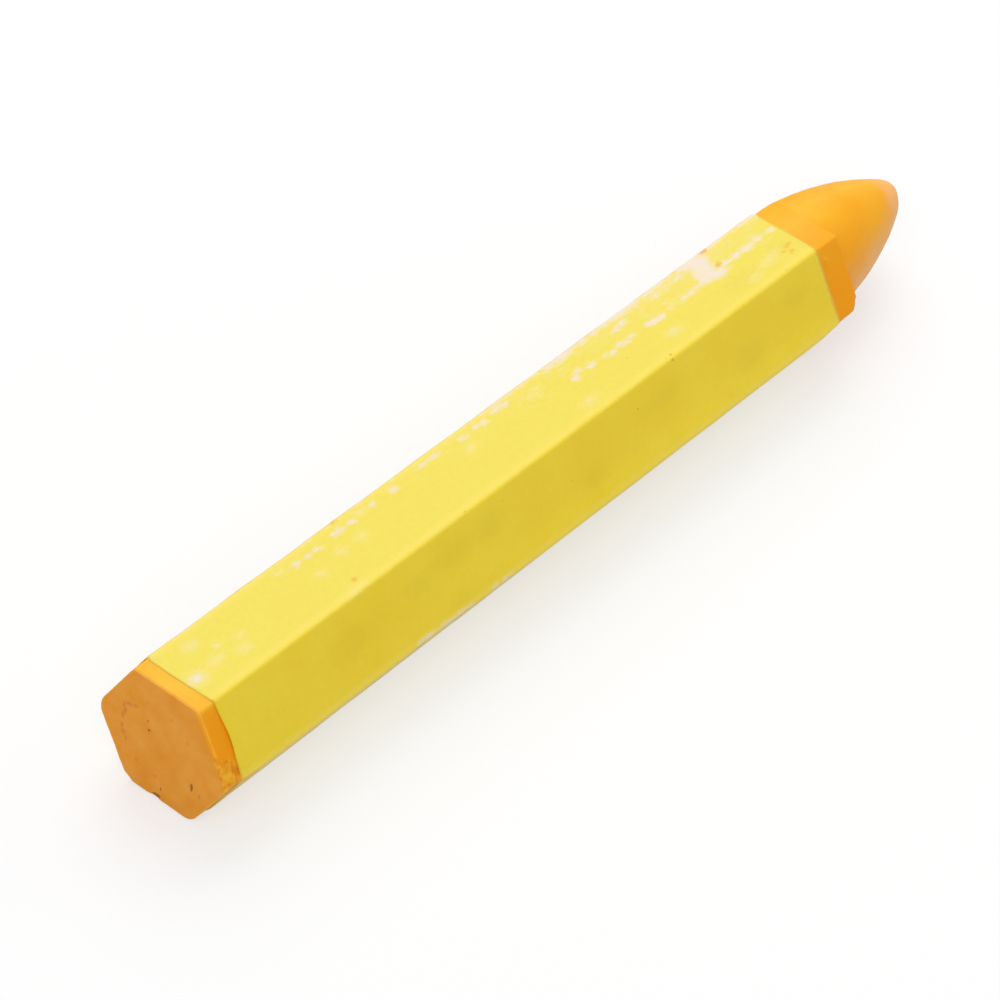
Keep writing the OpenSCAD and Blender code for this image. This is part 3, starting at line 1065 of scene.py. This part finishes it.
# The glued side is never seen, so its rows are far apart; only its borders keep every point.
INSIDE_STEP = 24
kept_rows = np.unique(np.concatenate([np.arange(0, rows - 1, INSIDE_STEP), [rows - 1]]))
grid = np.arange(count).reshape(rows, columns)
inside_faces = []
for first, last in zip(kept_rows[:-1], kept_rows[1:]):
    left, right = grid[first : last + 1, 0] + count, grid[first : last + 1, -1] + count
    inner_columns = grid[[first, last], 1:-1] + count
    inside_faces.append([*left, inner_columns[1, 0], inner_columns[0, 0]])
    for column in range(inner_columns.shape[1] - 1):
        pair = inner_columns[:, column : column + 2]
        inside_faces.append([pair[0, 0], pair[1, 0], pair[1, 1], pair[0, 1]])
    inside_faces.append([inner_columns[0, -1], inner_columns[1, -1], *right[::-1]])


def edge_faces(numbers):
    """Quads that close the cut edge between both skins, along a run of outer points."""
    first, second = numbers[:-1], numbers[1:]
    return np.stack([second, first, first + count, second + count], axis=-1)


cut_edges = [grid[0], grid[:, -1], grid[-1, ::-1], grid[::-1, 0]]
cut_faces = np.concatenate([edge_faces(run) for run in cut_edges])

# Points that no face uses any more are dropped, and the rest numbered again.
sheet_faces = [list(face) for face in outside_faces] + inside_faces + [list(face) for face in cut_faces]
used_points = np.unique(np.concatenate([np.asarray(face) for face in sheet_faces]))
renumber = np.full(2 * count, -1)
renumber[used_points] = np.arange(len(used_points))
sheet_faces = [renumber[face].tolist() for face in sheet_faces]
print("faces outside, inside and on the cuts:", len(outside_faces), len(inside_faces), len(cut_faces))

# %% Rubs on the unrolled sheet
# Each mark is (along, around, half length, half width), in millimetres. Around is counted from the near upper
# fold: over the top flat it is positive, and down the near flat negative. Along has this number at the butt's
# end of the sheet, so that it is 0 near the middle of the crayon.
SHEET_START = -58.4
RUBS = [
    # the ragged patch near the nose, its streak towards the shoulder and its tail
    (28.4, 8.6, 0.7, 0.45), (26.9, 8.3, 1.4, 0.7), (25.6, 8.1, 0.9, 0.5), (27.3, 7.4, 1.5, 0.9),
    (26.8, 6.4, 1.5, 1.1), (26.3, 5.6, 1.4, 0.9), (27.6, 4.9, 1.4, 0.6), (29.5, 5.5, 0.8, 0.32),
    (31.4, 5.45, 1.0, 0.34), (33.2, 5.45, 1.0, 0.4), (35.1, 5.55, 0.8, 0.34), (37.5, 5.45, 0.5, 0.3),
    (24.9, 5.15, 0.35, 0.22), (24.1, 5.1, 0.35, 0.2), (22.8, 5.1, 0.3, 0.18), (21.8, 5.15, 0.3, 0.2),
    # the streaks of the middle
    (15.6, 5.05, 0.5, 0.34), (16.6, 4.85, 0.8, 0.42), (17.7, 4.85, 0.4, 0.26), (13.8, 7.15, 0.6, 0.28),
    (12.6, 6.95, 0.5, 0.26), (12.9, 5.05, 0.4, 0.24), (11.5, 4.9, 0.55, 0.3), (10.8, 5.2, 0.35, 0.26),
    (9.5, 4.85, 0.5, 0.28), (8.5, 5.05, 0.3, 0.2), (6.2, 5.15, 0.6, 0.34), (4.5, 5.5, 0.4, 0.26),
    (3.4, 5.05, 0.5, 0.4), (-5.2, 7.7, 0.5, 0.3), (-6.2, 7.75, 0.8, 0.36), (19.7, 7.35, 0.4, 0.24),
    (23.7, 7.6, 0.7, 0.3),
    # the streaks towards the butt
    (-8.8, 7.4, 0.5, 0.32), (-9.8, 7.55, 0.4, 0.26), (-12.0, 7.35, 0.5, 0.24), (-16.3, 7.6, 0.5, 0.22),
    (-17.1, 7.65, 0.35, 0.18), (-18.3, 7.6, 0.55, 0.22), (-23.1, 7.3, 0.6, 0.36), (-26.3, 7.35, 0.32, 0.2),
    (-29.7, 7.2, 0.5, 0.3), (-31.6, 7.2, 0.6, 0.3), (-32.2, 7.15, 0.5, 0.34), (-35.1, 6.95, 0.5, 0.28),
    (-36.6, 6.95, 0.4, 0.26), (-38.2, 6.95, 0.5, 0.3), (-57.0, 3.1, 0.6, 0.4),
    # the lower near fold
    (-31.6, -8.65, 0.4, 0.2), (-30.4, -8.6, 0.5, 0.24), (-27.9, -8.8, 0.7, 0.2), (-25.4, -8.8, 0.6, 0.2),
    (-24.2, -8.8, 0.4, 0.18), (-20.3, -8.8, 0.4, 0.2), (-18.5, -8.8, 0.5, 0.18),
]
FAINT_RUBS = [
    (23.0, 5.2, 3.2, 0.35), (1.7, 1.7, 0.9, 0.4), (-0.9, 6.8, 0.4, 0.26), (-1.6, 6.2, 0.3, 0.24),
    (-2.2, 6.4, 0.3, 0.24), (16.8, 2.36, 0.8, 0.4), (32.9, 2.45, 0.9, 0.4), (34.4, 2.8, 0.7, 0.35),
    (30.0, 1.8, 0.6, 0.3), (19.7, 5.8, 0.5, 0.3), (-12.6, 5.8, 0.6, 0.36), (-28.0, 7.5, 0.4, 0.24),
    (-30.6, 5.0, 0.45, 0.3), (-33.6, 5.1, 0.4, 0.3), (-40.2, 7.4, 0.4, 0.25), (-37.5, 4.4, 0.4, 0.28),
    (-36.8, 0.3, 0.6, 0.2), (-49.7, 4.1, 0.4, 0.3), (-50.7, 2.7, 0.6, 0.4), (-52.3, 4.9, 0.25, 0.2),
    (-54.2, 6.65, 0.7, 0.5), (-53.9, 3.5, 0.7, 0.4), (-57.0, 3.1, 1.2, 0.95), (21.0, 7.7, 2.6, 0.6),
]
print("rubs:", len(RUBS), "faint rubs:", len(FAINT_RUBS))

# %% Smears of wax, specks and smudges, given in the same way
SMEARS = [
    (29.3, 8.45, 0.6, 0.4), (28.7, 5.9, 0.4, 0.26), (37.1, 2.65, 0.3, 0.24), (36.4, 2.5, 0.34, 0.22),
    (36.3, 1.6, 0.34, 0.22), (35.6, 2.2, 0.2, 0.16), (-35.8, 1.45, 0.34, 0.24), (-31.0, 8.4, 0.4, 0.2),
]
SPECKS = [
    (13.45, 0.3, 0.2, 0.17), (13.1, -0.25, 0.2, 0.14), (12.7, 0.3, 0.1, 0.08), (-11.9, 8.75, 0.18, 0.12),
    (9.8, 3.2, 0.14, 0.1), (-20.5, 0.0, 0.14, 0.1), (-15.5, -1.5, 0.12, 0.1), (-3.5, -0.45, 0.12, 0.08),
    (-10.9, -5.0, 0.12, 0.1), (-5.7, -4.45, 0.14, 0.1), (33.3, 0.1, 0.12, 0.08), (6.2, -2.4, 0.14, 0.12),
]
SMUDGES = [
    (-24.0, -2.9, 3.6, 1.3), (-18.1, -2.6, 2.4, 1.2), (-29.4, -3.4, 1.8, 1.0), (-24.4, -7.6, 2.0, 0.7),
    (-2.7, -5.8, 2.0, 1.0), (-40.0, -4.0, 3.0, 1.2), (10.0, -3.0, 3.0, 1.0), (24.0, -5.5, 2.6, 1.4),
    (33.0, -3.0, 2.0, 1.0), (36.0, 3.0, 1.2, 0.8), (28.5, 2.5, 2.5, 1.0),
]
print("smears:", len(SMEARS), "specks:", len(SPECKS), "smudges:", len(SMUDGES))

# %% Turn the marks into fields
side_mm = side / MM
x_mm = (sheet_x - sleeve_start) / MM + SHEET_START
around_mm = (1.5 * side - sheet_travel) / MM
around_mm = np.where(around_mm < -3 * side_mm, around_mm + 6 * side_mm, around_mm)


def on_sheet(sheet_marks):
    """Distance into the nearest mark in millimetres: above 0 inside, below 0 outside."""
    field = np.full(x_mm.shape, FAR_OUTSIDE)
    for centre_x, centre_around, half_length, half_width in sheet_marks:
        distance = np.hypot((x_mm - centre_x) / half_length, (around_mm - centre_around) / half_width)
        field = np.maximum(field, (1 - distance) * min(half_length, half_width))
    return field


rub, faint_rub, smear_and_shade, smudge = (on_sheet(group) for group in (RUBS, FAINT_RUBS, SMEARS, SMUDGES))
# Specks are so small that their edges need a steeper field.
speck = 3 * on_sheet(SPECKS)
# Painted sheen on the top flat, from fold to fold.
paper_top_sheen = np.minimum(around_mm - 0.05, side_mm + 0.4 - around_mm)
print("points of the sheet inside a rub:", int((rub > 0).sum()))

# %% Wear along the folds
fold_distance = np.abs((around_mm / side_mm + 0.5) % 1 - 0.5) * side_mm
# The upper fold has lost its ink all along its half towards the nose.
from_upper_fold = np.abs(around_mm - side_mm - 0.05)
slow_wear = 0.2 * ripple(sheet_place, 7 * MM, 31)
fine_wear = 0.16 * ripple(sheet_place, 1.5 * MM, 35)
upper_wear = ease(x_mm, -18, 6) * (0.72 + slow_wear + fine_wear)
rub = np.maximum(rub, 0.66 * upper_wear - 0.1 - 0.75 * from_upper_fold)
faint_rub = np.maximum(faint_rub, 0.8 * upper_wear - 0.75 * from_upper_fold)
# Beside it the far half of the top flat is thinly rubbed.
far_half = ease(around_mm, 2.5, 7.5) * ease(around_mm, 9.5, 8.8) * ease(x_mm, -45, 20)
faint_rub = np.maximum(faint_rub, -0.95 + 0.72 * far_half + 0.12 * ripple(sheet_place, 4 * MM, 34))
# The folds that are out of the light are worn a little as well.
hidden_wear = 0.14 * ripple(sheet_place, 6 * MM, 32) - 0.05
near_lower_fold = np.abs(around_mm + side_mm) < 2
hidden_fold = (np.abs(around_mm) > 2.2) & ~near_lower_fold
rub = np.maximum(rub, np.where(hidden_fold, hidden_wear - fold_distance, FAR_OUTSIDE))
print("points of the sheet without ink:", int((rub > 0).sum()))

# %% Painted highlight on the folds and cut ends, and wax smear with painted shade over the cut ends and the near lower fold
from_cut = np.minimum(sheet_x - sleeve_start, sleeve_end - sheet_x) / MM
near_side = (around_mm < 0.2) & (around_mm > -2 * side_mm)
# Painted highlight along the upper folds and the cut ends
pale = np.maximum(0.55 - fold_distance, 0.6 - 2 * from_cut)
pale = np.where(near_lower_fold | near_side, FAR_OUTSIDE, pale)
# Painted reflection of the floor along the lower near fold
fold_highlight = np.maximum(pale, 0.5 - 1.2 * np.abs(around_mm + side_mm + 0.15))
thin_at_cut = 0.1 * ripple(sheet_place, 5 * MM, 33) - 0.2 - from_cut
faint_rub = np.maximum(faint_rub, np.where(near_side, FAR_OUTSIDE, thin_at_cut))
# On the near side the wax smear at the cut ends is also painted shade at the paper's edge.
edge_smear_and_shade_reach = np.where(x_mm > 0, 0.45, 0.3)
smear_and_shade = np.maximum(smear_and_shade, np.where(near_side, edge_smear_and_shade_reach - from_cut, FAR_OUTSIDE))
# Painted shade in the smear's colour on the strip below the lower near fold, by the butt
below_fold = near_side & (around_mm < -side_mm - 0.2)
smear_and_shade = np.maximum(smear_and_shade, np.where(below_fold, 1.0 - 0.25 * from_cut, FAR_OUTSIDE))
print("points of the sheet with wax on them:", int((smear_and_shade > 0).sum()))

# %% Make the paper sleeve
sheet_points = np.concatenate([outer.reshape(-1, 3), inner.reshape(-1, 3)])[used_points]
sleeve = make_piece("paper_wrap", sheet_points, sheet_faces, "paper_sleeve", paper)
# The cut edges are flat, so that the sheet keeps a crisp border.
for polygon in list(sleeve.data.polygons)[-len(cut_faces) :]:
    polygon.use_smooth = False
unmarked = np.full(rub.shape, FAR_OUTSIDE)
# On the inside, only the near side has the wax smear and its painted shade on it.
inside_smear_and_shade = np.where(near_side, 0.6, FAR_OUTSIDE)
paper_fields = {
    "rub": rub, "faint_rub": faint_rub, "smear_and_shade": smear_and_shade, "smudge": smudge, "fold_highlight": fold_highlight, "speck": speck,
    "paper_top_sheen": paper_top_sheen,
}
for name, field in paper_fields.items():
    inside = inside_smear_and_shade if name == "smear_and_shade" else unmarked
    paint(sleeve, name, np.concatenate([field.ravel(), inside.ravel()])[used_points])

# %% [markdown]
# ## Floor, light and camera
#
# The crayon lies on a pale floor under one big soft lamp, with a white room all
# round that fills the shadows. The lamp hangs a little behind the crayon, so the
# top flat is the brightest and the near flat falls off, as on a table by day.
# A second lamp in front of the butt keeps its face from going dull, and a small
# weak one low on the near side lifts the underside of the nose.

# %% Floor and room
# The camera and the reflections see the floor white; the bounce onto the crayon is weaker.
FLOOR_WHITE = 0.6
FLOOR_SEEN = (0.97, 0.97, 0.97, 1)
FLOOR_BOUNCE = (0.66, 0.66, 0.66, 1)
ROOM_STRENGTH = 0.48


def studio():
    """A pale floor that keeps the crayon's shadow, in a white room."""
    bpy.ops.mesh.primitive_plane_add(size=8)
    floor = bpy.context.object
    floor.name = "floor"
    material = bpy.data.materials.new("pale floor")
    material.use_nodes = True
    tree = material.node_tree
    shader = tree.nodes["Principled BSDF"]
    shader.inputs["Roughness"].default_value = 0.9
    shader.inputs["Specular IOR Level"].default_value = 0.1
    rays = tree.nodes.new("ShaderNodeLightPath").outputs
    seen = calculate(tree, "MAXIMUM", rays["Is Camera Ray"], rays["Is Glossy Ray"])
    tree.links.new(blend_colours(tree, seen, FLOOR_BOUNCE, FLOOR_SEEN), shader.inputs["Base Color"])
    white = tree.nodes.new("ShaderNodeEmission")
    mix = tree.nodes.new("ShaderNodeMixShader")
    tree.links.new(calculate(tree, "MULTIPLY", seen, FLOOR_WHITE), mix.inputs[0])
    tree.links.new(shader.outputs[0], mix.inputs[1])
    tree.links.new(white.outputs[0], mix.inputs[2])
    tree.links.new(mix.outputs[0], tree.nodes["Material Output"].inputs["Surface"])
    floor.data.materials.append(material)

    world = bpy.data.worlds.new("white room")
    world.use_nodes = True
    background = world.node_tree.nodes["Background"]
    background.inputs["Color"].default_value = (1, 1, 1, 1)
    background.inputs["Strength"].default_value = ROOM_STRENGTH
    bpy.context.scene.world = world


studio()
print("the room shines with a strength of", ROOM_STRENGTH)


# %% Lamps
def soft_lamp(name, place, size, power):
    """A round lamp of a size in metres and a power in watts, aimed at the middle of the crayon."""
    lamp = bpy.data.lights.new(name, "AREA")
    lamp.shape = "DISK"
    lamp.size = size
    lamp.energy = power
    lamp_object = bpy.data.objects.new(name, lamp)
    lamp_object.location = place
    aim = Vector((0, 0, axis_height)) - Vector(place)
    lamp_object.rotation_mode = "QUATERNION"
    lamp_object.rotation_quaternion = aim.to_track_quat("-Z", "Y")
    bpy.context.scene.collection.objects.link(lamp_object)


soft_lamp("back softbox", (0.40, 0.43, 0.77), 0.9, 4.65)
soft_lamp("front fill", (-0.62, -0.35, 0.70), 0.8, 3.1)
soft_lamp("side fill", (0.30, -0.12, 0.15), 0.22, 0.115)
print("lamps:", [lamp.name for lamp in bpy.data.lights])

# %% Camera
# Where the camera aims on the crayon, its distance, and its angles in degrees.
AIM = Vector((-9.6 * MM, -0.7 * MM, 7.6 * MM))
CAMERA_DISTANCE = 508.7 * MM
CAMERA_AZIMUTH = -54.24
CAMERA_ELEVATION = 42.50
CAMERA_ROLL = 6.25
LENS = 176.6

azimuth, elevation = math.radians(CAMERA_AZIMUTH), math.radians(CAMERA_ELEVATION)
back = Vector(
    (math.sin(azimuth) * math.cos(elevation), -math.cos(azimuth) * math.cos(elevation), math.sin(elevation))
)
camera_data = bpy.data.cameras.new("camera")
camera_data.lens = LENS
camera_data.sensor_width = 36
camera_data.clip_start = 0.01
camera = bpy.data.objects.new("camera", camera_data)
bpy.context.scene.collection.objects.link(camera)
level = (-back).to_track_quat("-Z", "Y").to_matrix().to_4x4()
roll = Matrix.Rotation(math.radians(CAMERA_ROLL), 4, "Z")
camera.matrix_world = Matrix.Translation(AIM + back * CAMERA_DISTANCE) @ level @ roll
bpy.context.scene.camera = camera
bpy.context.scene.view_settings.view_transform = "Standard"
print("camera at", [round(value / MM, 1) for value in camera.matrix_world.translation])

# %% Update the scene
bpy.context.view_layer.update()
